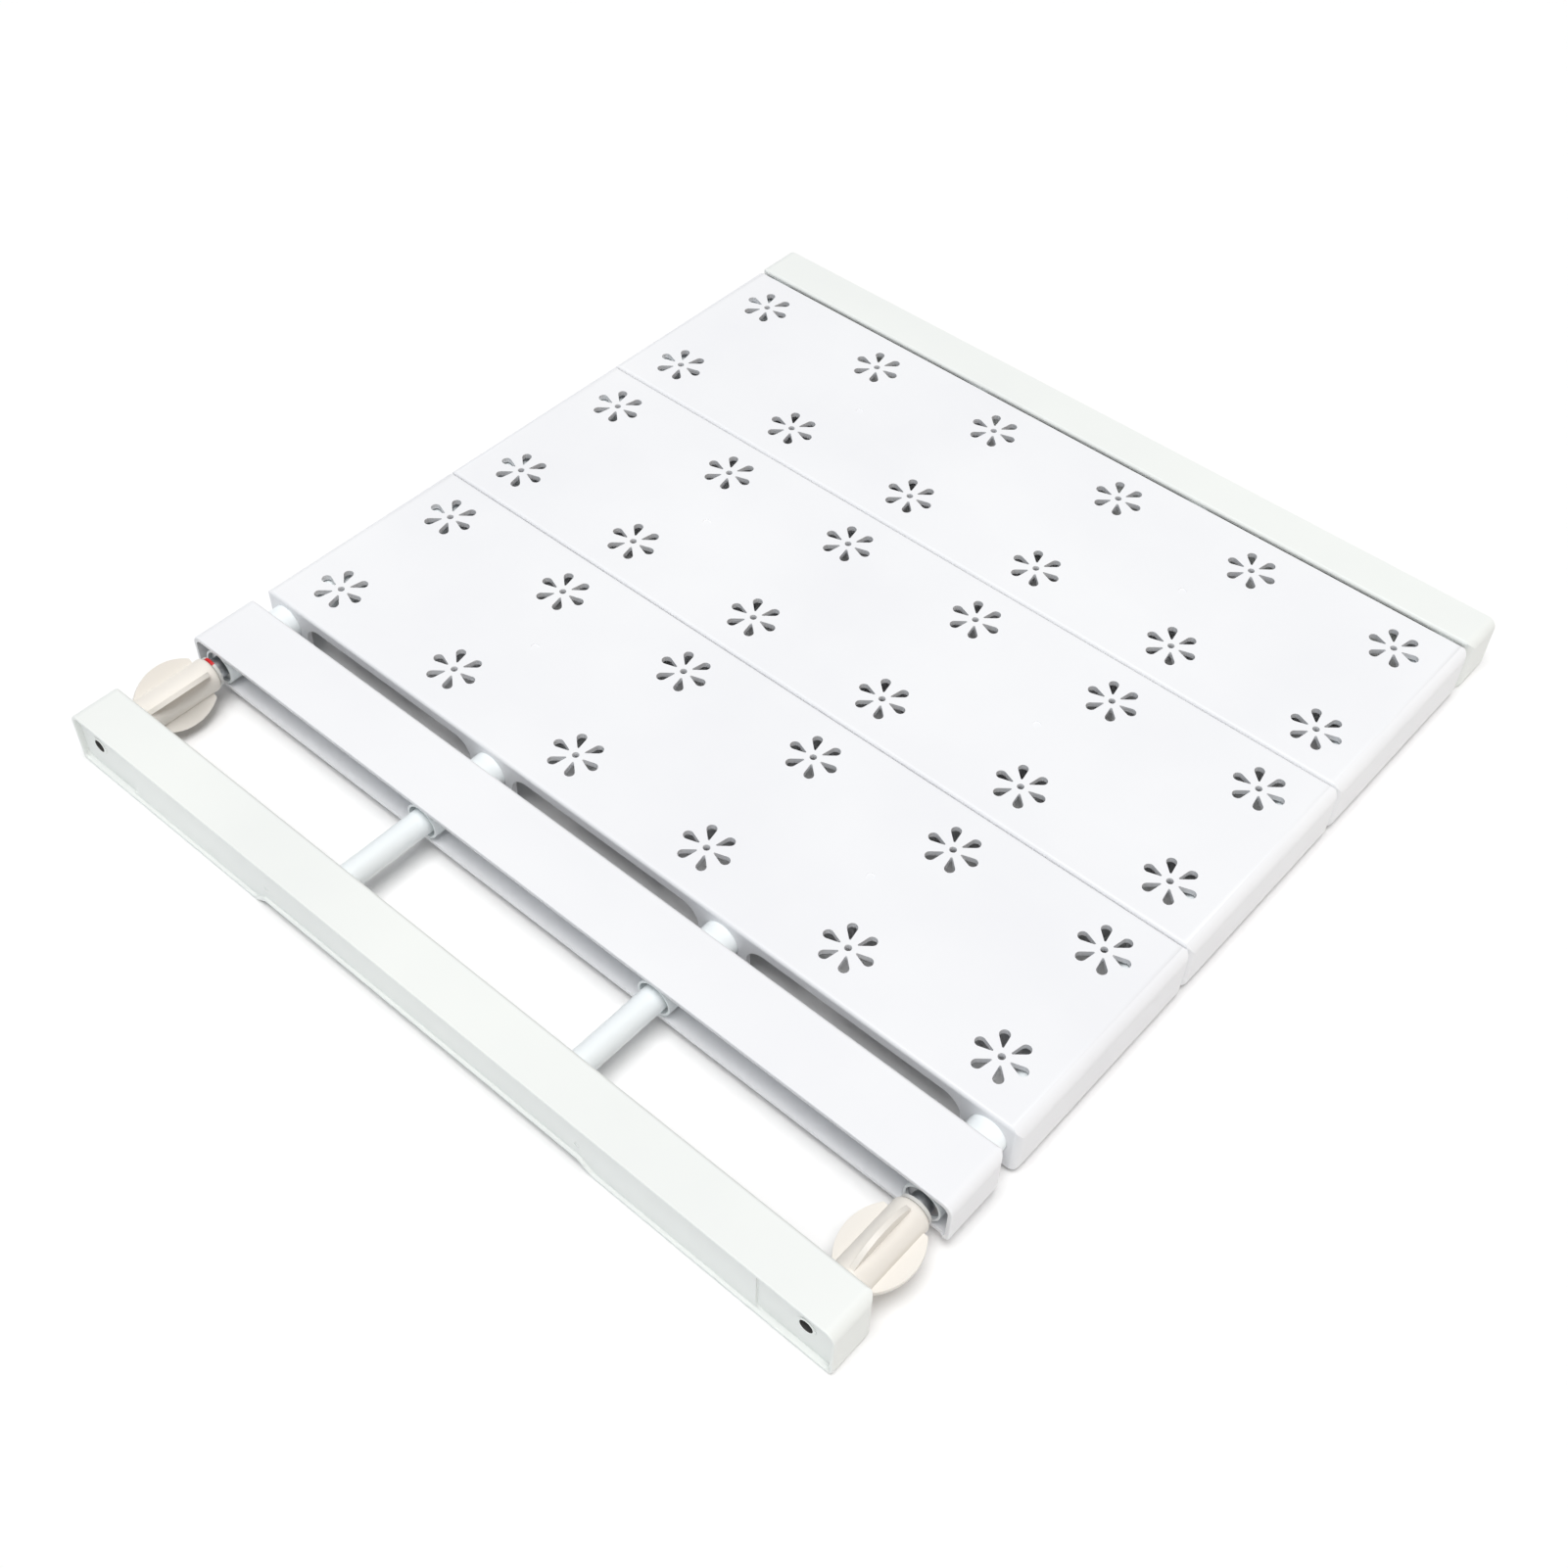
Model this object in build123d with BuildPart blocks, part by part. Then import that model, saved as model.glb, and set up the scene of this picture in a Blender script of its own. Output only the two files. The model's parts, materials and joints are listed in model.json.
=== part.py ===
from build123d import *
import os
from math import acos, cos, radians, sin

# Expandable tension shelf: three perforated panels ride on four telescoping tubes between two
# end bars. Two hand knobs push the clamp bar outwards to wedge the shelf between two walls.
# Frame: +X along the tubes towards the far bar, +Y along the bars, +Z up, millimetres.
# Origin: centre of the footprint, on the plane of the end bars' lowest faces.

# ---- driving dimensions -------------------------------------------------------------------
shelf_depth = 350.0
panel_count = 3
panel_width = 92.0
end_bar_width = 19.0
end_bar_height = 23.0
crossbar_width = 26.5
crossbar_height = 18.5
clamp_gap = 34.0
panel_gap = 6.5
far_gap = 1.5
tube_pitch = 109.0
tube_drop = 10.0

# ---- positions along X and Z --------------------------------------------------------------
overall_length = (2 * end_bar_width + clamp_gap + crossbar_width + panel_gap
                  + panel_count * panel_width + far_gap)
clamp_outer_x = -overall_length / 2
clamp_inner_x = clamp_outer_x + end_bar_width
crossbar_front_x = clamp_inner_x + clamp_gap
crossbar_back_x = crossbar_front_x + crossbar_width
panels_x = crossbar_back_x + panel_gap
far_outer_x = overall_length / 2
far_inner_x = far_outer_x - end_bar_width
top_z = end_bar_height
tube_z = top_z - tube_drop
inner_y = tube_pitch / 2
outer_y = 1.5 * tube_pitch
tube_rows = [-outer_y, -inner_y, inner_y, outer_y]

# ---- tubes, rods and their fittings -------------------------------------------------------
outer_tube_radius = 7.0
outer_tube_bore = 6.2
inner_tube_radius = 6.0
inner_tube_bore = 5.2
rod_radius = 4.8
rod_bore = 4.0
fit_gap = 0.08
seat_gap = 0.05
tube_front_x = crossbar_front_x + 1.0
tube_end_x = panels_x + panel_count * panel_width - 4.0
inner_tube_start_x = panels_x + 20.0
end_ring_length = 1.5
plug_length = 10.0
plug_flange = 1.5
rod_tail_x = panels_x + 8.0
rod_tail_length = 7.0
rod_bush_length = 10.0
rod_bush_inset = 3.0
screw_radius = 1.45
screw_hole_radius = 1.5
screw_head_radius = 3.0
screw_head_height = 1.8

# ---- bars ---------------------------------------------------------------------------------
wall = 2.0
rim = 1.2
bar_top_radius = 4.0
bar_bottom_radius = 2.2
edge_radius = 1.2
end_bar_corner = 3.8
crossbar_corner = 4.0
rim_outer_radius = 0.4
rim_inner_radius = 0.35
mouth_radius = 0.5
socket_radius = 8.2
raised_step = 3.7
step_outer_y = 79.0
step_inner_y = 73.5
pocket_start_y = 145.0
pocket_depth = 0.8
pocket_corner = 3.0
pivot_hole_radius = 2.5
hole_rim_radius = 3.5
hole_rim_height = 0.3
pivot_pin_inset = 8.0
boss_radius = 8.2
pillar_width = 9.0
mark_y = 72.8
mark_z = 10.0
mark_radius = 1.1
mark_depth = 0.25
rib_thickness = 1.6
tube_block_half = 9.5
channel_depth = 12.0
lip_setback = 1.0
lip_thickness = 1.6

# ---- panels -------------------------------------------------------------------------------
seam = 0.4
panel_depth = 21.0
plate = 2.2
panel_wall = 2.0
panel_side_radius = 5.0
panel_corner_radius = 3.0
panel_edge_radius = 1.5
skirt_depth = 4.8
lobe_half_width = 10.5
scallop_radius = 7.5
slot_gap = 0.3
slot_mouth = 12.5
cross_rib_depth = 9.0
long_rib_depth = 6.0
long_rib_rows = [0.0, 72.0, 122.7]
flower_pitch = panel_width * 2 / 3
flower_row_gap = 54.4
flower_count = 6
petal_count = 6
petal_tip_radius = 0.35
petal_tip_reach = 3.65
petal_end_radius = 1.85
petal_end_reach = 8.25
flower_eye_radius = 1.3
gate_mark_y = 78.8
gate_mark_radius = 1.5
gate_mark_depth = 0.25

# ---- knobs, studs and lock screws ---------------------------------------------------------
knob_radius = 6.7
knob_bore = 4.1
knob_length = 30.2
knob_cap = 2.0
knob_end_radius = 1.6
fin_radius = 12.4
fin_step = 1.7
fin_start = 0.6
fin_end = 26.5
fin_thickness = 1.8
fin_count = 4
left_knob_turn = 42.5
right_knob_turn = 2.3
washer_thickness = 0.8
washer_gap = 0.1
stud_radius = 4.0
stud_reach = 26.0
stud_plug_length = 18.0
thread_pitch = 3.0
thread_groove = 0.35
knob_ring_radius = 5.9
knob_ring_length = 1.2
lock_x = tube_end_x - 12.0
lock_boss_radius = 4.2
lock_boss_drop = 9.6
lock_hole_radius = 1.6
lock_shank_radius = 1.54
lock_head_radius = 5.2
lock_head_bottom_z = 0.6
lock_head_height = 2.5
lock_grip_count = 12

os.makedirs("parts", exist_ok=True)


def finish(builder, name):
    """Label a finished piece and write it to its own file."""
    builder.part.label = name
    export_step(builder.part, f"parts/{name}.step")


def cross_plane(x):
    """Plane across the shelf at x: local x is world Y, local y is world Z, normal is +X."""
    return Plane(origin=(x, 0, 0), x_dir=(0, 1, 0), z_dir=(1, 0, 0))


# ---- tubes and rods -----------------------------------------------------------------------

def tube(start_x, end_x, y, radius, bore):
    """A straight round tube along X."""
    with BuildPart() as piece:
        with BuildSketch(cross_plane(start_x)):
            with Locations((y, tube_z)):
                Circle(radius)
                Circle(bore, mode=Mode.SUBTRACT)
        extrude(amount=end_x - start_x)
    return piece


crossbar_screw_x = crossbar_back_x - 6.5
clamp_screw_x = clamp_outer_x + 11.0
far_screw_x = far_outer_x - 11.0


def drilled_tube(start_x, end_x, y, radius, bore, holes):
    """A tube along X with radial holes through its lower wall: holes is a list of (x, radius)."""
    with BuildPart() as piece:
        with BuildSketch(cross_plane(start_x)):
            with Locations((y, tube_z)):
                Circle(radius)
                Circle(bore, mode=Mode.SUBTRACT)
        extrude(amount=end_x - start_x)
        for hole_x, hole_radius in holes:
            with BuildSketch(Plane.XY.offset(tube_z - radius - 1.0)):
                with Locations((hole_x, y)):
                    Circle(hole_radius)
            extrude(amount=radius, mode=Mode.SUBTRACT)
    return piece


for number, row_y in enumerate(tube_rows, start=1):
    outer_holes = [(crossbar_screw_x, screw_hole_radius)]
    if abs(row_y) == outer_y:
        outer_holes.append((lock_x, 2.0))
    outer_tube = drilled_tube(tube_front_x, tube_end_x, row_y,
                              outer_tube_radius, outer_tube_bore, outer_holes)
    finish(outer_tube, f"outer_tube_{number}")
    inner_tube = drilled_tube(inner_tube_start_x, far_outer_x - rim - pocket_depth - wall, row_y,
                              inner_tube_radius, inner_tube_bore,
                              [(far_screw_x, screw_hole_radius)])
    finish(inner_tube, f"inner_tube_{number}")

for side, row_y in (("right", -inner_y), ("left", inner_y)):
    guide_rod = drilled_tube(clamp_outer_x + rim + pocket_depth + wall, rod_tail_x, row_y,
                             rod_radius, rod_bore, [(clamp_screw_x, screw_hole_radius)])
    finish(guide_rod, f"guide_rod_{side}")

    with BuildPart() as rod_tail:
        with BuildSketch(cross_plane(rod_tail_x - 5.0)):
            with Locations((row_y, tube_z)):
                Circle(rod_bore - seat_gap)
        extrude(amount=5.0)
        with BuildSketch(cross_plane(rod_tail_x)):
            with Locations((row_y, tube_z)):
                Circle(outer_tube_bore - fit_gap)
        extrude(amount=rod_tail_length)
        fillet(rod_tail.edges().sort_by(Axis.X)[-1], 0.8)
    finish(rod_tail, f"rod_tail_{side}")

    bush_x = tube_front_x + rod_bush_inset
    rod_bush = tube(bush_x, bush_x + rod_bush_length, row_y, outer_tube_bore, rod_radius + fit_gap)
    finish(rod_bush, f"rod_bush_{side}")

with BuildPart() as tube_end_rings:
    with BuildSketch(cross_plane(tube_end_x)):
        for row_y in tube_rows:
            with Locations((row_y, tube_z)):
                Circle(outer_tube_radius)
                Circle(inner_tube_radius + fit_gap, mode=Mode.SUBTRACT)
    extrude(amount=end_ring_length)
finish(tube_end_rings, "tube_end_rings")

with BuildPart() as inner_tube_glides:
    for row_y in tube_rows:
        with BuildSketch(cross_plane(inner_tube_start_x)):
            with Locations((row_y, tube_z)):
                Circle(inner_tube_bore)
        extrude(amount=plug_length)
        with BuildSketch(cross_plane(inner_tube_start_x - plug_flange)):
            with Locations((row_y, tube_z)):
                Circle(outer_tube_bore - fit_gap)
        extrude(amount=plug_flange)
finish(inner_tube_glides, "inner_tube_glides")


# ---- end bars -----------------------------------------------------------------------------

def end_bar_profile(inset):
    """Side view of an end bar, raised in the middle of its lower edge, shrunk by inset."""
    half = shelf_depth / 2 - inset
    high = top_z - inset
    raised = raised_step + inset
    with BuildSketch() as profile:
        with BuildLine():
            Polyline(
                (-half, high), (-half, inset), (-step_outer_y - inset / 2, inset),
                (-step_inner_y - inset / 2, raised), (step_inner_y + inset / 2, raised),
                (step_outer_y + inset / 2, inset), (half, inset), (half, high), close=True,
            )
        make_face()
        upper = profile.vertices().filter_by(lambda v: v.Y > top_z / 2)
        fillet(upper, bar_top_radius - inset * 0.6)
        lower = profile.vertices().filter_by(lambda v: abs(v.X) > half - 1 and v.Y < top_z / 2)
        fillet(lower, bar_bottom_radius - inset * 0.5)
        steps = profile.vertices().filter_by(lambda v: abs(v.X) < step_outer_y + 2)
        fillet(steps, 2.0)
    return profile.sketch


def end_bar(base, sockets, socket_bore, knob_seats, screw_depth):
    """An open-backed end bar. Its outer face lies on base and it grows along base's normal."""
    inner_start = rim + pocket_depth + wall
    with BuildPart() as bar:
        with BuildSketch(base):
            add(end_bar_profile(0.0))
        extrude(amount=end_bar_width)
        outer_x = base.origin.X
        inner_x = outer_x + base.z_dir.X * end_bar_width
        # rounded corners in plan on the side of the tubes
        with BuildSketch() as plan:
            with Locations(((outer_x + inner_x) / 2, 0)):
                Rectangle(end_bar_width, shelf_depth)
            fillet(plan.vertices().filter_by(lambda v: abs(v.X - inner_x) < 1), end_bar_corner)
        extrude(amount=top_z, mode=Mode.INTERSECT)
        # rounded long edges on the same side
        with BuildSketch(Plane.XZ) as side_view:
            with Locations(((outer_x + inner_x) / 2, top_z / 2)):
                Rectangle(end_bar_width, top_z)
            fillet(side_view.vertices().filter_by(lambda v: abs(v.X - inner_x) < 1), edge_radius)
        extrude(amount=shelf_depth, both=True, mode=Mode.INTERSECT)
        fillet(bar.faces().filter_by_position(Axis.X, outer_x - 0.01, outer_x + 0.01).edges(),
               rim_outer_radius)
        # shallow recess of the outer face, inside a thin rim
        with BuildSketch(base):
            add(end_bar_profile(rim))
        extrude(amount=rim, mode=Mode.SUBTRACT)
        rim_face = bar.faces().filter_by_position(Axis.X, outer_x - 0.01, outer_x + 0.01)[0]
        fillet(rim_face.inner_wires()[0].edges(), rim_inner_radius)
        # slightly deeper pockets at both ends of the outer face
        pocket_end_y = shelf_depth / 2 - rim
        for side in (-1, 1):
            with BuildSketch(base.offset(rim)) as pocket:
                with Locations((side * (pocket_start_y + pocket_end_y) / 2, top_z / 2)):
                    Rectangle(pocket_end_y - pocket_start_y, top_z - 2 * rim)
                fillet(pocket.vertices(), pocket_corner)
            extrude(amount=pocket_depth, mode=Mode.SUBTRACT)
        # hollow back, open towards the tubes
        with BuildSketch(base.offset(inner_start)):
            add(end_bar_profile(wall))
        extrude(amount=end_bar_width, mode=Mode.SUBTRACT)
        # cross ribs
        rib_length = end_bar_width - inner_start - 1.0
        for rib_y in (0.0, 27.0, 82.0, 109.0, 136.0):
            for side in (-1, 1) if rib_y else (1,):
                with BuildSketch(base.offset(inner_start)):
                    with Locations((side * rib_y, (top_z + raised_step) / 2)):
                        Rectangle(rib_thickness, top_z - raised_step - 2.0)
                    if rib_y > step_outer_y:
                        with Locations((side * rib_y, top_z / 2)):
                            Rectangle(rib_thickness, top_z - 2.0)
                extrude(amount=rib_length)
        # round sockets on short pillars for the tubes or rods, and solid seats for the knobs
        for row_y in sockets:
            with BuildSketch(base.offset(inner_start)):
                with Locations((row_y, tube_z)):
                    Circle(socket_radius)
                floor_z = raised_step if abs(row_y) < step_inner_y else 0.0
                with Locations((row_y, (floor_z + tube_z) / 2)):
                    Rectangle(pillar_width, tube_z - floor_z - 1.0)
            extrude(amount=rib_length)
        for row_y in knob_seats:
            with BuildSketch(base.offset(inner_start)):
                with Locations((row_y, tube_z)):
                    Circle(boss_radius)
            extrude(amount=end_bar_width - inner_start)
        for row_y in sockets:
            with BuildSketch(base.offset(inner_start)):
                with Locations((row_y, tube_z)):
                    Circle(socket_bore)
            extrude(amount=end_bar_width, mode=Mode.SUBTRACT)
        # round holes with a low rim in both end pockets
        with BuildSketch(base.offset(rim + pocket_depth - hole_rim_height)):
            with Locations((-outer_y, tube_z), (outer_y, tube_z)):
                Circle(hole_rim_radius)
        extrude(amount=hole_rim_height)
        with BuildSketch(base):
            with Locations((-outer_y, tube_z), (outer_y, tube_z)):
                Circle(pivot_hole_radius)
        extrude(amount=end_bar_width, mode=Mode.SUBTRACT)
        # small moulding marks on the recessed face
        with BuildSketch(base.offset(rim)):
            with Locations((-mark_y, mark_z), (mark_y, mark_z)):
                Circle(mark_radius)
        extrude(amount=mark_depth, mode=Mode.SUBTRACT)
        # screw holes up through the lower wall into each socket
        for row_y in sockets:
            floor_z = raised_step if abs(row_y) < step_inner_y else 0.0
            screw_plane = Plane(origin=base.from_local_coords((row_y, floor_z, screw_depth)),
                                x_dir=base.z_dir, z_dir=(0, 0, 1))
            with BuildSketch(screw_plane):
                Circle(screw_hole_radius)
            extrude(amount=tube_z - floor_z, mode=Mode.SUBTRACT)
            with BuildSketch(screw_plane):
                Circle(screw_head_radius + 0.2)
            extrude(amount=screw_head_height, mode=Mode.SUBTRACT)
    return bar


clamp_plane = cross_plane(clamp_outer_x)
far_plane = Plane(origin=(far_outer_x, 0, 0), x_dir=(0, -1, 0), z_dir=(-1, 0, 0))

clamp_bar = end_bar(clamp_plane, [-inner_y, inner_y], rod_radius + seat_gap,
                    [-outer_y, outer_y], clamp_screw_x - clamp_outer_x)
finish(clamp_bar, "clamp_bar")
far_bar = end_bar(far_plane, tube_rows, inner_tube_radius + seat_gap, [],
                  far_outer_x - far_screw_x)
finish(far_bar, "far_bar")


# ---- crossbar -----------------------------------------------------------------------------

def bar_block(low, inset):
    """Rounded side view of the crossbar from z = low up to the top, shrunk by inset."""
    with BuildSketch() as profile:
        with Locations((0, (low + top_z) / 2)):
            Rectangle(shelf_depth - 2 * inset, top_z - low - 2 * inset)
        upper = profile.vertices().filter_by(lambda v: v.Y > (low + top_z) / 2)
        fillet(upper, bar_top_radius - inset * 0.6)
        lower = profile.vertices().filter_by(lambda v: v.Y < (low + top_z) / 2)
        fillet(lower, bar_bottom_radius - inset * 0.5)
    return profile.sketch


crossbar_bottom = top_z - crossbar_height
rear_start_x = crossbar_front_x + channel_depth + wall
with BuildPart() as crossbar:
    with BuildSketch(cross_plane(crossbar_front_x)):
        add(bar_block(crossbar_bottom, 0.0))
    extrude(amount=crossbar_width)
    # rounded corners in plan on the side of the panels
    with BuildSketch() as crossbar_plan:
        with Locations(((crossbar_front_x + crossbar_back_x) / 2, 0)):
            Rectangle(crossbar_width, shelf_depth)
        fillet(crossbar_plan.vertices().filter_by(lambda v: abs(v.X - crossbar_back_x) < 1),
               crossbar_corner)
    extrude(amount=top_z, mode=Mode.INTERSECT)
    # rounded long edges on the same side
    with BuildSketch(Plane.XZ) as crossbar_side:
        with Locations(((crossbar_front_x + crossbar_back_x) / 2, top_z - crossbar_height / 2)):
            Rectangle(crossbar_width, crossbar_height)
        fillet(crossbar_side.vertices().filter_by(lambda v: abs(v.X - crossbar_back_x) < 1),
               edge_radius)
    extrude(amount=shelf_depth, both=True, mode=Mode.INTERSECT)
    fillet(crossbar.faces().sort_by(Axis.X)[0].edges(), mouth_radius)
    # front channel, open towards the knobs, with its lower lip set back
    with BuildSketch(cross_plane(crossbar_front_x)):
        add(bar_block(crossbar_bottom, lip_thickness))
    extrude(amount=channel_depth, mode=Mode.SUBTRACT)
    with BuildSketch(Plane.XY.offset(crossbar_bottom)):
        with Locations((crossbar_front_x + lip_setback / 2, 0)):
            Rectangle(lip_setback, shelf_depth - 2 * bar_bottom_radius)
    extrude(amount=lip_thickness, mode=Mode.SUBTRACT)
    # rear pockets open underneath, leaving a block round every tube
    bay = (tube_pitch - 2 * tube_block_half - 4 * rib_thickness) / 3
    with BuildSketch(Plane.XY.offset(crossbar_bottom)):
        for bay_y in (-tube_pitch, 0.0, tube_pitch):
            for step in (-1, 0, 1):
                with Locations(((rear_start_x + crossbar_back_x - wall) / 2,
                                bay_y + step * (bay + rib_thickness))):
                    Rectangle(crossbar_back_x - wall - rear_start_x, bay)
    extrude(amount=crossbar_height - wall, mode=Mode.SUBTRACT)
    # tube bores
    with BuildSketch(cross_plane(crossbar_front_x)):
        for row_y in tube_rows:
            with Locations((row_y, tube_z)):
                Circle(outer_tube_radius + seat_gap)
    extrude(amount=crossbar_width, mode=Mode.SUBTRACT)
    with BuildSketch(Plane.XY.offset(crossbar_bottom)):
        for row_y in tube_rows:
            with Locations((crossbar_screw_x, row_y)):
                Circle(screw_hole_radius)
    extrude(amount=tube_z - crossbar_bottom, mode=Mode.SUBTRACT)
finish(crossbar, "crossbar")


# ---- self-tapping screws from below ---------------------------------------------------------

def screw_group(places, name):
    """Pan-head screws pointing up: places is a list of (x, y, z under the head, z of the tip)."""
    with BuildPart() as screws:
        for x, y, seat_z, tip_z in places:
            with BuildSketch(Plane.XY.offset(seat_z - screw_head_height)):
                with Locations((x, y)):
                    Circle(screw_head_radius)
            extrude(amount=screw_head_height)
            with BuildSketch(Plane.XY.offset(seat_z)):
                with Locations((x, y)):
                    Circle(screw_radius)
            extrude(amount=tip_z - seat_z)
            with BuildSketch(Plane.XY.offset(seat_z - screw_head_height)):
                with Locations((x, y)):
                    Rectangle(3.4, 0.8)
                    Rectangle(0.8, 3.4)
            extrude(amount=1.1, mode=Mode.SUBTRACT)
    finish(screws, name)


def end_bar_screws(x, rows, tip_z, name):
    """Screws recessed in the lower face of an end bar, one below each row."""
    places = []
    for row_y in rows:
        floor_z = raised_step if abs(row_y) < step_inner_y else 0.0
        places.append((x, row_y, floor_z + screw_head_height, tip_z))
    screw_group(places, name)


wall_bite = 0.7
screw_group([(crossbar_screw_x, row_y, crossbar_bottom, tube_z - outer_tube_radius + wall_bite)
             for row_y in tube_rows], "crossbar_screws")
end_bar_screws(clamp_screw_x, [-inner_y, inner_y], tube_z - rod_radius + wall_bite,
               "clamp_bar_screws")
end_bar_screws(far_screw_x, tube_rows, tube_z - inner_tube_radius + wall_bite,
               "far_bar_screws")


# ---- shelf panels -------------------------------------------------------------------------

def flower_field():
    """All petal and eye openings of one panel, centred on the panel, in plan."""
    with BuildSketch() as petal:
        reach = petal_end_reach - petal_tip_reach
        lean = acos((petal_end_radius - petal_tip_radius) / reach)
        tip_x = petal_tip_reach - petal_tip_radius * cos(lean)
        tip_y = petal_tip_radius * sin(lean)
        end_x = petal_end_reach - petal_end_radius * cos(lean)
        end_y = petal_end_radius * sin(lean)
        with BuildLine():
            Line((tip_x, tip_y), (end_x, end_y))
            ThreePointArc((end_x, end_y), (petal_end_reach + petal_end_radius, 0),
                          (end_x, -end_y))
            Line((end_x, -end_y), (tip_x, -tip_y))
            ThreePointArc((tip_x, -tip_y), (petal_tip_reach - petal_tip_radius, 0),
                          (tip_x, tip_y))
        make_face()
    with BuildSketch() as flower:
        with PolarLocations(0, petal_count, start_angle=90):
            add(petal.sketch)
        Circle(flower_eye_radius)
    with BuildSketch() as field:
        with GridLocations(flower_row_gap, flower_pitch, 2, flower_count):
            add(flower.sketch)
    return field.sketch


def tube_slots(radius, mouth):
    """Keyhole slots round the four tubes, open downwards, in the cross plane."""
    with BuildSketch() as slots:
        for row_y in tube_rows:
            with Locations((row_y, tube_z)):
                Circle(radius)
            with Locations((row_y, tube_z / 2)):
                Rectangle(mouth, tube_z)
    return slots.sketch


def panel_outline():
    """Cross-section silhouette of a panel: shallow skirt with deep lobes round the tubes."""
    half = shelf_depth / 2
    low = top_z - panel_depth
    skirt = top_z - skirt_depth
    outer_lobe = outer_y - lobe_half_width
    with BuildSketch() as outline:
        with Locations((0, (low + top_z) / 2)):
            Rectangle(shelf_depth, panel_depth)
        spans = [(-outer_lobe, -inner_y - lobe_half_width),
                 (-inner_y + lobe_half_width, inner_y - lobe_half_width),
                 (inner_y + lobe_half_width, outer_lobe)]
        for start, end in spans:
            with BuildSketch(mode=Mode.PRIVATE) as gap:
                with Locations(((start + end) / 2, (low + skirt) / 2 - 5)):
                    Rectangle(end - start, skirt - low + 10)
                fillet(gap.vertices().filter_by(lambda v: v.Y > tube_z), scallop_radius)
            add(gap.sketch, mode=Mode.SUBTRACT)
        corners = outline.vertices().filter_by(lambda v: abs(v.X) > half - 1)
        fillet(corners.filter_by(lambda v: v.Y > top_z - 1), panel_side_radius)
        lobes = outline.vertices().filter_by(lambda v: v.Y < low + 0.1)
        fillet(lobes, 1.6)
    return outline.sketch


flowers = flower_field()
silhouette = panel_outline()


def shelf_panel(start_x, slot_radius, rear_slot_radius):
    """A perforated panel, open underneath, with ribs and tube clips in its two end walls."""
    length = panel_width - seam
    front_x = start_x + seam / 2
    centre_x = start_x + panel_width / 2
    with BuildPart() as panel:
        with BuildSketch(cross_plane(front_x)):
            add(silhouette)
        extrude(amount=length)
        with BuildSketch():
            with Locations((centre_x, 0)):
                RectangleRounded(length, shelf_depth, panel_corner_radius)
        extrude(amount=top_z, mode=Mode.INTERSECT)
        # soften the long top edges of the front and rear
        with BuildSketch(Plane.XZ) as side_view:
            with Locations((centre_x, top_z / 2)):
                Rectangle(length, top_z)
            fillet(side_view.vertices().filter_by(lambda v: v.Y > 1), panel_edge_radius)
        extrude(amount=shelf_depth, both=True, mode=Mode.INTERSECT)
        # hollow underside
        with BuildSketch(Plane.XY.offset(top_z - plate)):
            with Locations((centre_x, 0)):
                RectangleRounded(length - 2 * panel_wall, shelf_depth - 2 * panel_wall, 1.0)
        extrude(amount=-panel_depth, mode=Mode.SUBTRACT)
        # stiffening ribs under the plate
        with BuildSketch(Plane.XY.offset(top_z - plate)):
            with Locations((centre_x, 0)):
                Rectangle(rib_thickness, shelf_depth - 2 * panel_wall)
        extrude(amount=plate - cross_rib_depth)
        with BuildSketch(Plane.XY.offset(top_z - plate)):
            for rib_y in long_rib_rows:
                for side in (-1, 1) if rib_y else (1,):
                    with Locations((centre_x, side * rib_y)):
                        Rectangle(length - 2 * panel_wall, rib_thickness)
        extrude(amount=plate - long_rib_depth)
        # clips round the tubes
        with BuildSketch(cross_plane(front_x)):
            add(tube_slots(slot_radius, slot_mouth))
        extrude(amount=length - panel_wall - 1.0, mode=Mode.SUBTRACT)
        with BuildSketch(cross_plane(front_x + length)):
            add(tube_slots(rear_slot_radius, min(slot_mouth, 2 * rear_slot_radius - 1.5)))
        extrude(amount=-panel_wall - 1.0, mode=Mode.SUBTRACT)
        # flowers
        with BuildSketch(Plane.XY.offset(top_z)):
            with Locations((centre_x, 0)):
                add(flowers)
        extrude(amount=-plate, mode=Mode.SUBTRACT)
        # faint round moulding marks on the centre line
        with BuildSketch(Plane.XY.offset(top_z)):
            with Locations((centre_x, -gate_mark_y), (centre_x, gate_mark_y)):
                Circle(gate_mark_radius)
        extrude(amount=-gate_mark_depth, mode=Mode.SUBTRACT)
    return panel


clip_radius = outer_tube_radius + seat_gap
slide_radius = outer_tube_radius + slot_gap
front_panel = shelf_panel(panels_x, clip_radius, clip_radius)
finish(front_panel, "front_panel")
middle_panel = shelf_panel(panels_x + panel_width, slide_radius, slide_radius)
finish(middle_panel, "middle_panel")
rear_panel = shelf_panel(panels_x + 2 * panel_width, slide_radius, inner_tube_radius + seat_gap)
finish(rear_panel, "rear_panel")


# ---- knobs, studs, rings and lock screws --------------------------------------------------
knob_x = clamp_inner_x + washer_thickness + washer_gap
thread_turns = 8

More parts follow.
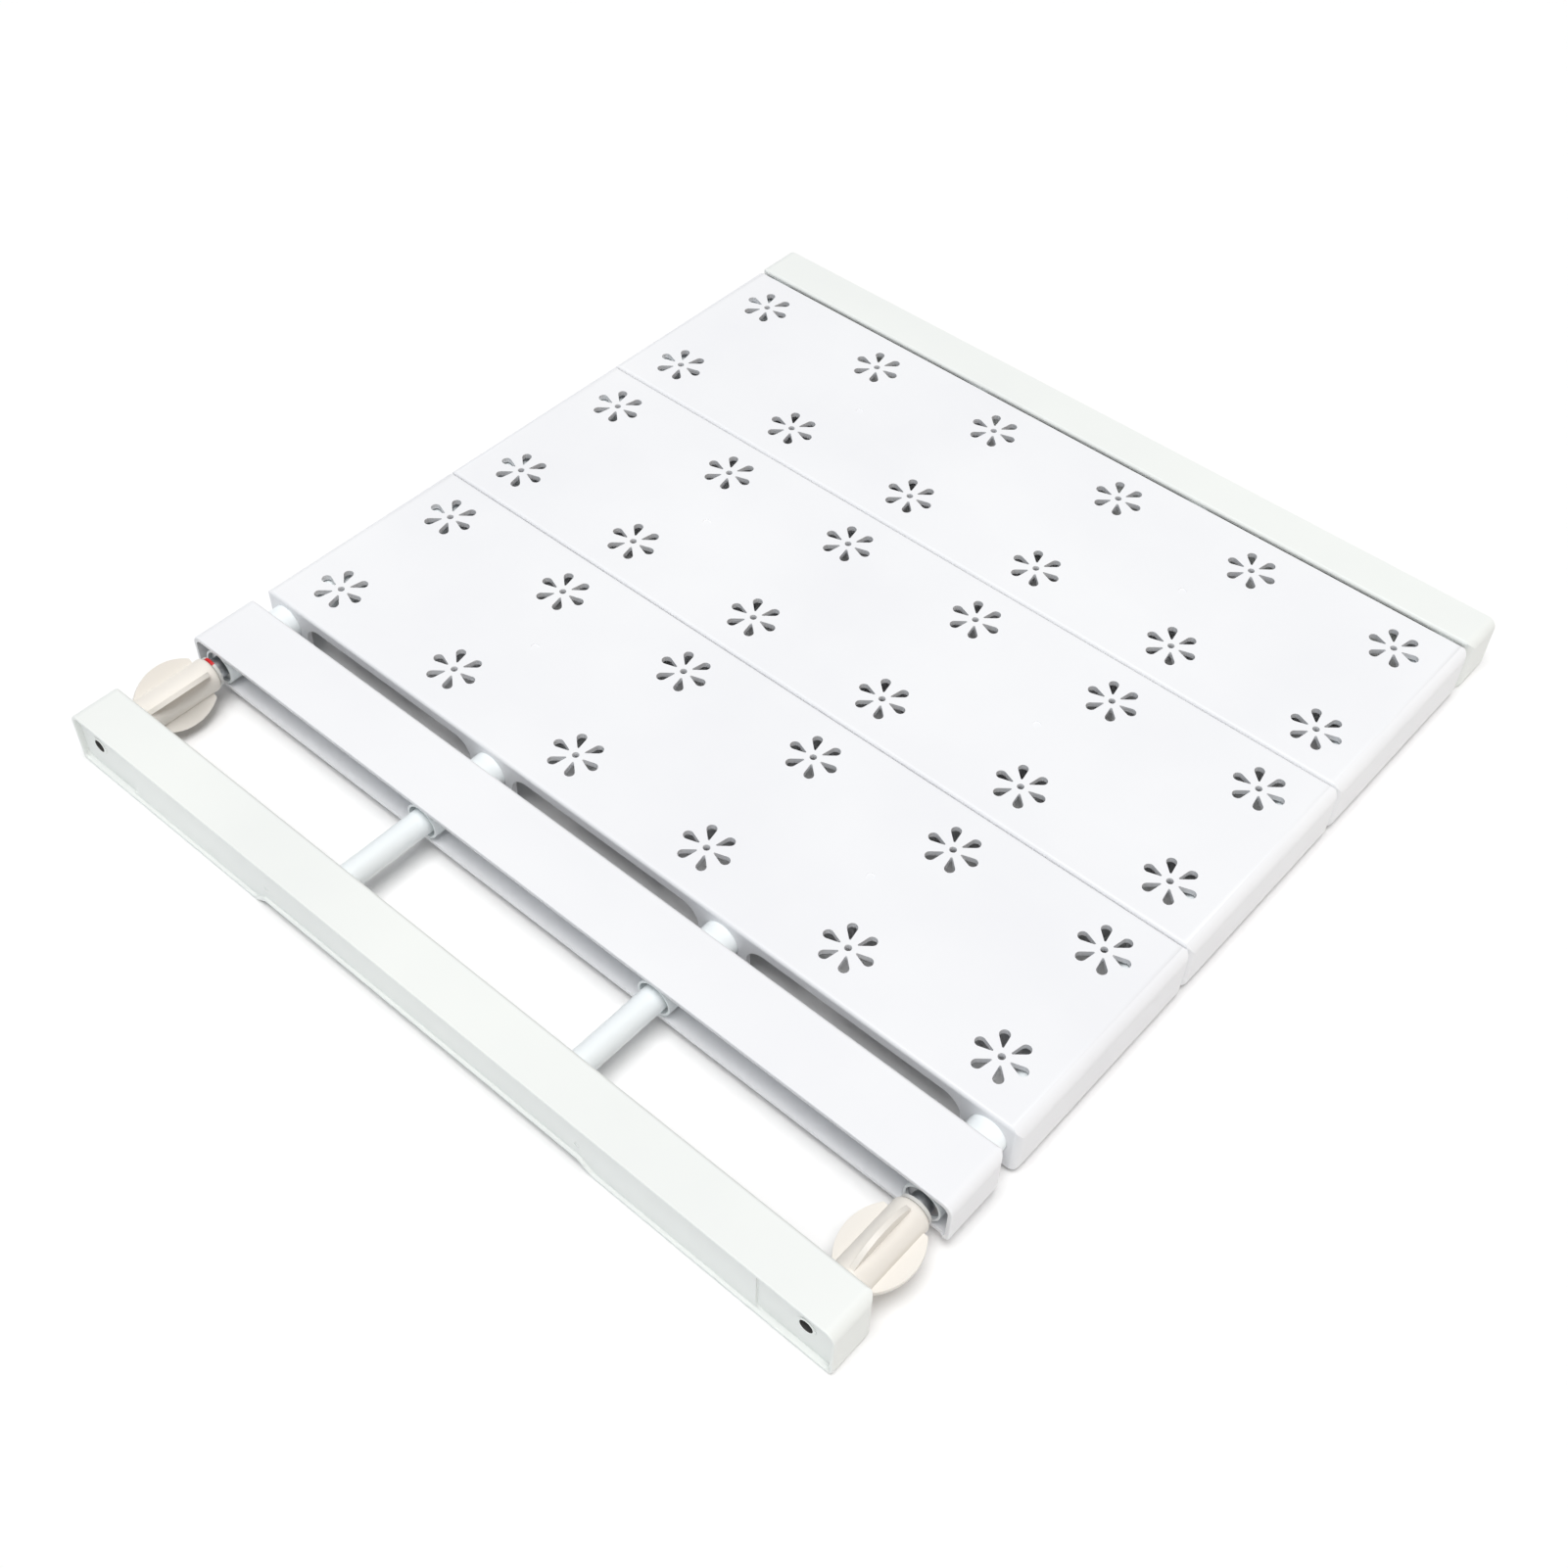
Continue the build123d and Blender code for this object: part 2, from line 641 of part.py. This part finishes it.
for side, row_y, turn in (("right", -outer_y, right_knob_turn), ("left", outer_y, left_knob_turn)):
    axis_plane = Plane(origin=(0, row_y, tube_z), x_dir=(1, 0, 0), z_dir=(0, -1, 0))
    with BuildPart() as knob:
        with BuildSketch(axis_plane):
            with Locations((knob_x + knob_length / 2, knob_radius / 2)):
                Rectangle(knob_length, knob_radius)
        revolve(axis=Axis((0, row_y, tube_z), (1, 0, 0)))
        fillet(knob.edges().filter_by(GeomType.CIRCLE).sort_by(Axis.X)[-1], knob_end_radius)
        fillet(knob.edges().filter_by(GeomType.CIRCLE).sort_by(Axis.X)[0], 0.6)
        for index in range(fin_count):
            # local x runs along the shelf, local y points out along the fin
            angle = radians(turn + index * 360 / fin_count)
            fin_plane = Plane(origin=(knob_x, row_y, tube_z), x_dir=(1, 0, 0),
                              z_dir=(0, -cos(angle), -sin(angle)))
            with BuildSketch(fin_plane) as fin:
                with BuildLine():
                    Polyline((fin_start, knob_radius - 0.3), (fin_start, knob_bore + 1.0),
                             (fin_end, knob_bore + 1.0), (fin_end, knob_radius + fin_step))
                    ThreePointArc((fin_start, knob_radius - 0.3),
                                  ((fin_start + fin_end) / 2, fin_radius),
                                  (fin_end, knob_radius + fin_step))
                make_face()
            extrude(amount=fin_thickness / 2, both=True)
        # blind bore for the stud
        with BuildSketch(cross_plane(knob_x + knob_cap)):
            with Locations((row_y, tube_z)):
                Circle(knob_bore)
        extrude(amount=knob_length, mode=Mode.SUBTRACT)
        # pivot pin that turns in the clamp bar
        with BuildSketch(cross_plane(clamp_outer_x + pivot_pin_inset)):
            with Locations((row_y, tube_z)):
                Circle(pivot_hole_radius - fit_gap)
        extrude(amount=knob_x + 1.0 - clamp_outer_x - pivot_pin_inset)
    finish(knob, f"knob_{side}")

    with BuildPart() as stud:
        plug_x = tube_front_x + 1.2
        with BuildSketch(cross_plane(plug_x)):
            with Locations((row_y, tube_z)):
                Circle(outer_tube_bore)
        extrude(amount=stud_plug_length)
        with BuildSketch(cross_plane(crossbar_front_x - stud_reach)):
            with Locations((row_y, tube_z)):
                Circle(stud_radius)
        extrude(amount=plug_x - crossbar_front_x + stud_reach)
        chamfer(stud.edges().filter_by(GeomType.CIRCLE).sort_by(Axis.X)[0], 0.6)
        with BuildSketch(axis_plane):
            for index in range(thread_turns):
                groove_x = crossbar_front_x - stud_reach + thread_pitch * (index + 0.8)
                with Locations((groove_x, stud_radius)):
                    Rectangle(thread_groove * 2, thread_groove * 2, rotation=45)
        revolve(axis=Axis((0, row_y, tube_z), (1, 0, 0)), mode=Mode.SUBTRACT)
    finish(stud, f"stud_{side}")

    # ring on the knob's open end, round the stud
    ring_x = knob_x + knob_length
    knob_ring = tube(ring_x, ring_x + knob_ring_length, row_y, knob_ring_radius, knob_bore)
    finish(knob_ring, f"knob_ring_{side}")

    # boss under the outer tube with a hand screw that locks the telescoping tubes
    with BuildPart() as lock_boss:
        with BuildSketch(Plane.XY.offset(tube_z - lock_boss_drop)):
            with Locations((lock_x, row_y)):
                Circle(lock_boss_radius)
        extrude(amount=lock_boss_drop - 3.0)
        with BuildSketch(cross_plane(lock_x - 2 * lock_boss_radius)):
            with Locations((row_y, tube_z)):
                Circle(outer_tube_radius)
        extrude(amount=4 * lock_boss_radius, mode=Mode.SUBTRACT)
        with BuildSketch(Plane.XY):
            with Locations((lock_x, row_y)):
                Circle(lock_hole_radius)
        extrude(amount=tube_z, mode=Mode.SUBTRACT)
    finish(lock_boss, f"lock_boss_{side}")

    with BuildPart() as lock_screw:
        with BuildSketch(Plane.XY.offset(lock_head_bottom_z)):
            with Locations((lock_x, row_y)):
                Circle(lock_head_radius)
                with PolarLocations(lock_head_radius + 0.3, lock_grip_count):
                    Circle(0.8, mode=Mode.SUBTRACT)
        extrude(amount=lock_head_height)
        with BuildSketch(Plane.XY.offset(lock_head_bottom_z + lock_head_height)):
            with Locations((lock_x, row_y)):
                Circle(lock_shank_radius)
        extrude(amount=tube_z - inner_tube_radius - 0.1 - lock_head_bottom_z - lock_head_height)
    finish(lock_screw, f"lock_screw_{side}")

with BuildPart() as knob_washers:
    with BuildSketch(cross_plane(clamp_inner_x)):
        with Locations((-outer_y, tube_z), (outer_y, tube_z)):
            Circle(knob_radius - 0.4)
            Circle(pivot_hole_radius + 0.3, mode=Mode.SUBTRACT)
    extrude(amount=washer_thickness)
finish(knob_washers, "knob_washers")
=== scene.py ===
import json
import math

import bmesh
import bpy
from mathutils import Matrix, Vector

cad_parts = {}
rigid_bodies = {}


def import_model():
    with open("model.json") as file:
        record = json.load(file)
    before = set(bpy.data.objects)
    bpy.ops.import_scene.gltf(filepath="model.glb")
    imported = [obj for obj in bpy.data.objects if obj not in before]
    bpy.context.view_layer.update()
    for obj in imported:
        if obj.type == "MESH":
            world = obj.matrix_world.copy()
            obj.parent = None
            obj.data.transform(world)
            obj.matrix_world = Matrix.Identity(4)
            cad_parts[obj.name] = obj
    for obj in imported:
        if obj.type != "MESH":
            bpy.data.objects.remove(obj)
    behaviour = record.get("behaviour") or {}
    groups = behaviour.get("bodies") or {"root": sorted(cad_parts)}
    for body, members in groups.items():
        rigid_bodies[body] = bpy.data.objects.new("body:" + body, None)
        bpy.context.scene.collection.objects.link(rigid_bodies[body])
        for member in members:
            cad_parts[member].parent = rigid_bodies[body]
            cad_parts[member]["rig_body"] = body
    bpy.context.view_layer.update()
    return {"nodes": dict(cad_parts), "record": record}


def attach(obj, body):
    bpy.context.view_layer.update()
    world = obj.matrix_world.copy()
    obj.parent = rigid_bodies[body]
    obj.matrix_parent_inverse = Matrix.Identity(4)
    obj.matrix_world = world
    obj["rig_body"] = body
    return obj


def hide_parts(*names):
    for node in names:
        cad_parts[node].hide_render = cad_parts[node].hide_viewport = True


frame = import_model()
nodes = frame["nodes"]

# ---- sizes in metres, angles in degrees ------------------------------------------------------

knob_axis_y = 0.1635
knob_axis_z = 0.013
hole_wall_reach = 0.0026        # faces this near to a knob's axis are the walls of its hole

weld_distance = 2e-6
flat_angle = 0.5                # faces that meet flatter than this become one
sharp_angle = 32.0              # edges that are sharper than this are rounded
bevel_segments = 2
normal_weight = 80
edge_widths = {
    "front_panel": 0.00025,
    "middle_panel": 0.00025,
    "rear_panel": 0.00025,
    "knob_left": 0.0005,
    "knob_right": 0.0005,
    "lock_screw_left": 0.0003,
    "lock_screw_right": 0.0003,
}

left_mark_angle = 92.0          # middle of the red mark, from +Y towards +Z
right_mark_angle = -90.0
mark_half_angle = 24.0
mark_wobble = 0.12              # how far the mark's ends are ragged, in radians

floor_half_size = 40.0
floor_drop = 0.0002
lamp_distance = 2.0             # a sun lamp's place has no effect on its light
world_colour = (0.97, 0.98, 1.0, 1.0)
world_strength = 0.26

camera_lens = 45.57             # lens and sensor in millimetres
camera_sensor = 36.0
camera_near_limit = 0.01
camera_place = (-0.39015, -0.31555, 0.53465)
camera_direction = (0.50453, 0.41932, -0.75473)
camera_roll = 1.91

# ---- pieces ---------------------------------------------------------------------------------


def copied_mesh(source, name):
    mesh = source.data.copy()
    mesh.name = name
    return mesh


def linked_object(name, data):
    piece = bpy.data.objects.new(name, data)
    bpy.context.scene.collection.objects.link(piece)
    return piece


def weld(mesh):
    """Join doubled points and flat neighbouring faces, and shade the mesh smooth."""
    work = bmesh.new()
    work.from_mesh(mesh)
    bmesh.ops.remove_doubles(work, verts=work.verts, dist=weld_distance)
    bmesh.ops.dissolve_limit(work, angle_limit=math.radians(flat_angle), verts=work.verts,
                             edges=work.edges, delimit=set())
    work.to_mesh(mesh)
    work.free()
    for polygon in mesh.polygons:
        polygon.use_smooth = True


def round_edges(piece, width):
    """Bevel the piece's sharp edges and weight its normals, as plain mesh data."""
    bevel = piece.modifiers.new("edges", "BEVEL")
    bevel.width = width
    bevel.segments = bevel_segments
    bevel.limit_method = "ANGLE"
    bevel.angle_limit = math.radians(sharp_angle)
    bevel.use_clamp_overlap = True
    bevel.harden_normals = False
    weighted = piece.modifiers.new("normals", "WEIGHTED_NORMAL")
    weighted.keep_sharp = False
    weighted.weight = normal_weight
    depsgraph = bpy.context.evaluated_depsgraph_get()
    final = bpy.data.meshes.new_from_object(piece.evaluated_get(depsgraph))
    piece.modifiers.clear()
    piece.data = final


def rounded_copy(node, width):
    """A copy of a CAD node with its sharp edges rounded, shown in its place."""
    source = nodes[node]
    mesh = copied_mesh(source, node + "_moulded")
    weld(mesh)
    piece = linked_object(node + "_moulded", mesh)
    round_edges(piece, width)
    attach(piece, source["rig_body"])
    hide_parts(node)
    return piece


def bar_copy(node, material, hole_shade_material):
    """A copy of an end bar, shown in its place, with a dark material on the hole walls that is
    painted shade.
    """
    source = nodes[node]
    mesh = copied_mesh(source, node + "_moulded")
    piece = linked_object(node + "_moulded", mesh)
    mesh.materials.clear()
    mesh.materials.append(material)
    mesh.materials.append(hole_shade_material)
    for polygon in mesh.polygons:
        centre = polygon.center
        away = math.hypot(abs(centre.y) - knob_axis_y, centre.z - knob_axis_z)
        # faces of the knob-hole walls get the dark second material: painted shade standing in
        # for the shadow inside the holes
        polygon.material_index = 1 if away < hole_wall_reach else 0
    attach(piece, source["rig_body"])
    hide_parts(node)
    return piece


def set_material(piece, material):
    piece.data.materials.clear()
    piece.data.materials.append(material)


def set_node_material(node, material):
    for material_slot in nodes[node].material_slots:
        material_slot.material = material


# ---- shader helpers -------------------------------------------------------------------------


def srgb(red, green, blue):
    """An 8-bit display colour as a linear RGBA colour."""
    def linear(value):
        value /= 255
        return value / 12.92 if value <= 0.04045 else ((value + 0.055) / 1.055) ** 2.4
    return (linear(red), linear(green), linear(blue), 1.0)


def new_material(name):
    material = bpy.data.materials.new(name)
    material.use_nodes = True
    tree = material.node_tree
    tree.nodes.clear()
    output = tree.nodes.new("ShaderNodeOutputMaterial")
    shader = tree.nodes.new("ShaderNodeBsdfPrincipled")
    tree.links.new(shader.outputs["BSDF"], output.inputs["Surface"])
    return material, tree, shader


def place_on_piece(tree):
    """The point being shaded, in the piece's own axes."""
    return tree.nodes.new("ShaderNodeTexCoord").outputs["Object"]


def noise(tree, place, scale, detail=3.0, stretch=None):
    if stretch:
        mapping = tree.nodes.new("ShaderNodeMapping")
        mapping.inputs["Scale"].default_value = stretch
        tree.links.new(place, mapping.inputs["Vector"])
        place = mapping.outputs["Vector"]
    texture = tree.nodes.new("ShaderNodeTexNoise")
    texture.inputs["Scale"].default_value = scale
    texture.inputs["Detail"].default_value = detail
    tree.links.new(place, texture.inputs["Vector"])
    return texture.outputs["Fac"]


def ramp(tree, factor, low, high, colour_low, colour_high):
    """Run from one colour to the other as the factor goes from low to high."""
    node = tree.nodes.new("ShaderNodeValToRGB")
    node.color_ramp.elements[0].position = low
    node.color_ramp.elements[1].position = high
    node.color_ramp.elements[0].color = colour_low
    node.color_ramp.elements[1].color = colour_high
    tree.links.new(factor, node.inputs["Fac"])
    return node.outputs["Color"]


def spread(tree, factor, low, high):
    """Stretch a factor of 0 to 1 to the range from low to high."""
    node = tree.nodes.new("ShaderNodeMapRange")
    node.inputs["To Min"].default_value = low
    node.inputs["To Max"].default_value = high
    tree.links.new(factor, node.inputs["Value"])
    return node.outputs["Result"]


def bump(tree, factor, strength, distance, under=None):
    node = tree.nodes.new("ShaderNodeBump")
    node.inputs["Strength"].default_value = strength
    node.inputs["Distance"].default_value = distance
    tree.links.new(factor, node.inputs["Height"])
    if under is not None:
        tree.links.new(under, node.inputs["Normal"])
    return node.outputs["Normal"]


def maths(tree, operation, *values):
    """A math node, each value being a float or the output of another node."""
    node = tree.nodes.new("ShaderNodeMath")
    node.operation = operation
    for socket, value in zip(node.inputs, values):
        if isinstance(value, float):
            socket.default_value = value
        else:
            tree.links.new(value, socket)
    return node.outputs["Value"]


# ---- materials ------------------------------------------------------------------------------


def moulded_plastic(name, shade, tint, rough, grain=2600.0):
    """Satin moulded plastic: faint cloudy colour, fine spark-eroded grain, slow waviness."""
    material, tree, shader = new_material(name)
    place = place_on_piece(tree)
    clouds = noise(tree, place, scale=14.0, detail=4.0)
    tree.links.new(ramp(tree, clouds, 0.3, 0.7, shade, tint), shader.inputs["Base Color"])
    patches = noise(tree, place, scale=45.0)
    tree.links.new(spread(tree, patches, rough - 0.05, rough + 0.07),
                   shader.inputs["Roughness"])
    waves = noise(tree, place, scale=22.0, detail=1.0)
    slow = bump(tree, waves, strength=0.25, distance=0.0004)
    grains = noise(tree, place, scale=grain, detail=2.0)
    fine = bump(tree, grains, strength=0.10, distance=0.00003, under=slow)
    tree.links.new(fine, shader.inputs["Normal"])
    shader.inputs["IOR"].default_value = 1.49
    return material


def coated_steel(name, shade, tint, rough):
    """Powder-coated tube: orange-peel bump and faint streaks along the tube."""
    material, tree, shader = new_material(name)
    place = place_on_piece(tree)
    streaks = noise(tree, place, scale=60.0, stretch=(0.08, 1.0, 1.0))
    tree.links.new(ramp(tree, streaks, 0.3, 0.7, shade, tint), shader.inputs["Base Color"])
    patches = noise(tree, place, scale=90.0)
    tree.links.new(spread(tree, patches, rough - 0.05, rough + 0.06),
                   shader.inputs["Roughness"])
    dimples = noise(tree, place, scale=900.0, detail=1.0)
    tree.links.new(bump(tree, dimples, strength=0.12, distance=0.00006),
                   shader.inputs["Normal"])
    shader.inputs["Coat Weight"].default_value = 0.25
    shader.inputs["Coat Roughness"].default_value = 0.15
    return material


def plated_steel(name, shade, tint):
    """Zinc-plated steel: fine turning marks and patchy brightness."""
    material, tree, shader = new_material(name)
    place = place_on_piece(tree)
    patches = noise(tree, place, scale=160.0, detail=4.0)
    tree.links.new(ramp(tree, patches, 0.3, 0.75, shade, tint), shader.inputs["Base Color"])
    marks = noise(tree, place, scale=500.0, detail=2.0, stretch=(4.0, 0.4, 0.4))
    tree.links.new(spread(tree, marks, 0.22, 0.42), shader.inputs["Roughness"])
    tree.links.new(bump(tree, marks, strength=0.15, distance=0.00004),
                   shader.inputs["Normal"])
    shader.inputs["Metallic"].default_value = 1.0
    return material


def marked_ring(name, centre_y, middle_angle):
    """An off-white ring round the X axis at centre_y, with a red mark on part of its turn."""
    material, tree, shader = new_material(name)
    place = place_on_piece(tree)
    split = tree.nodes.new("ShaderNodeSeparateXYZ")
    tree.links.new(place, split.inputs["Vector"])
    above = maths(tree, "SUBTRACT", split.outputs["Z"], knob_axis_z)
    across = maths(tree, "SUBTRACT", split.outputs["Y"], centre_y)
    angle = maths(tree, "ARCTAN2", above, across)
    from_middle = maths(tree, "SUBTRACT", angle, math.radians(middle_angle))
    grains = noise(tree, place, scale=900.0, detail=2.0)
    ragged = maths(tree, "ADD", maths(tree, "ABSOLUTE", from_middle),
                   maths(tree, "MULTIPLY", grains, mark_wobble))
    share = maths(tree, "DIVIDE", ragged, 2 * math.radians(mark_half_angle))
    mark_red, ring_white = srgb(204, 30, 34), srgb(208, 208, 205)
    tree.links.new(ramp(tree, share, 0.5, 0.56, mark_red, ring_white),
                   shader.inputs["Base Color"])
    shader.inputs["Roughness"].default_value = 0.4
    return material


shelf_white = moulded_plastic("shelf_white", srgb(240, 241, 244), srgb(245, 246, 248), 0.42)
bar_white = moulded_plastic("bar_white", srgb(238, 241, 239), srgb(243, 246, 243), 0.40)
knob_cream = moulded_plastic("knob_cream", srgb(235, 230, 222), srgb(240, 236, 229), 0.38,
                             grain=1800.0)
glide_white = moulded_plastic("glide_white", srgb(228, 228, 222), srgb(236, 236, 232), 0.5)
lock_white = moulded_plastic("lock_white", srgb(232, 232, 230), srgb(240, 240, 238), 0.42)
# dark plastic for the knob-hole walls of the end bars: painted shade, not the bars' own colour
painted_hole_shade = moulded_plastic("painted_hole_shade", srgb(70, 69, 68), srgb(92, 91, 89), 0.6)
tube_coat = coated_steel("tube_coat", srgb(243, 249, 251), srgb(246, 251, 253), 0.32)
inner_coat = coated_steel("inner_coat", srgb(222, 229, 232), srgb(230, 237, 240), 0.30)
zinc = plated_steel("zinc", srgb(150, 152, 156), srgb(196, 198, 200))

finish_of_slot = {
    "shelf_plastic": shelf_white,
    "bar_plastic": bar_white,
    "tube_paint": tube_coat,
    "inner_tube_paint": inner_coat,
    "knob_plastic": knob_cream,
    "stud_steel": zinc,
    "glide_plastic": glide_white,
    "screw_steel": zinc,
    "lock_plastic": lock_white,
    "boss_steel": tube_coat,
}
finish_of_node = {
    "knob_ring_left": marked_ring("ring_left", knob_axis_y, left_mark_angle),
    "knob_ring_right": marked_ring("ring_right", -knob_axis_y, right_mark_angle),
}
slot_of_node = {}
for row in frame["record"]["subparts"]:
    node = row["node"]
    slot_of_node[node] = row["material_slot"]
    if node not in finish_of_node:
        finish_of_node[node] = finish_of_slot[slot_of_node[node]]
    set_node_material(node, finish_of_node[node])

# ---- end bars with painted shade on their hole walls, and parts with rounded edges ----------

for node in ("clamp_bar", "far_bar"):
    # the hole walls get painted shade
    piece = bar_copy(node, bar_white, painted_hole_shade)
for node, width in edge_widths.items():
    piece = rounded_copy(node, width)
    set_material(piece, finish_of_node[node])

# ---- floor ----------------------------------------------------------------------------------

half = floor_half_size
corners = [(-half, -half, 0), (half, -half, 0), (half, half, 0), (-half, half, 0)]
floor_mesh = bpy.data.meshes.new("floor")
floor_mesh.from_pydata(corners, [], [(0, 1, 2, 3)])
floor = linked_object("floor", floor_mesh)
floor.location.z = -floor_drop
floor_paper, _, floor_shader = new_material("floor_paper")
floor_shader.inputs["Base Color"].default_value = srgb(250, 250, 250)
floor_shader.inputs["Roughness"].default_value = 0.9
set_material(floor, floor_paper)

# ---- light ----------------------------------------------------------------------------------


def distant_light(name, towards_light, softness, strength, colour):
    """A very large, far-off soft light; towards_light points from the shelf to the light."""
    light = bpy.data.lights.new(name, "SUN")
    light.angle = math.radians(softness)
    light.energy = strength * math.pi
    light.color = colour
    lamp = linked_object(name, light)
    lamp.location = Vector(towards_light).normalized() * lamp_distance
    lamp.rotation_euler = (-Vector(towards_light)).to_track_quat("-Z", "Y").to_euler()


distant_light("key_light", (-0.14, -0.09, 0.98), softness=40.0, strength=0.80,
              colour=(1.0, 0.995, 0.99))
distant_light("front_light", (-1.0, 0.1, 0.25), softness=60.0, strength=0.06,
              colour=(0.62, 0.86, 1.0))
distant_light("side_light", (0.1, -1.0, 0.25), softness=60.0, strength=0.06,
              colour=(1.0, 0.66, 0.30))

world = bpy.data.worlds.new("studio")
world.use_nodes = True
background = world.node_tree.nodes["Background"]
background.inputs["Color"].default_value = world_colour
background.inputs["Strength"].default_value = world_strength
bpy.context.scene.world = world
bpy.context.scene.view_settings.view_transform = "Standard"

# ---- camera ---------------------------------------------------------------------------------

camera_data = bpy.data.cameras.new("camera")
camera_data.lens = camera_lens
camera_data.sensor_width = camera_sensor
camera_data.clip_start = camera_near_limit
camera = linked_object("camera", camera_data)
forward = Vector(camera_direction).normalized()
level = forward.cross(Vector((0, 0, 1))).normalized()
upright = level.cross(forward)
roll = math.radians(camera_roll)
right = level * math.cos(roll) + upright * math.sin(roll)
up = upright * math.cos(roll) - level * math.sin(roll)
camera.matrix_world = Matrix((
    (right.x, up.x, -forward.x, camera_place[0]),
    (right.y, up.y, -forward.y, camera_place[1]),
    (right.z, up.z, -forward.z, camera_place[2]),
    (0.0, 0.0, 0.0, 1.0),
))
bpy.context.scene.camera = camera
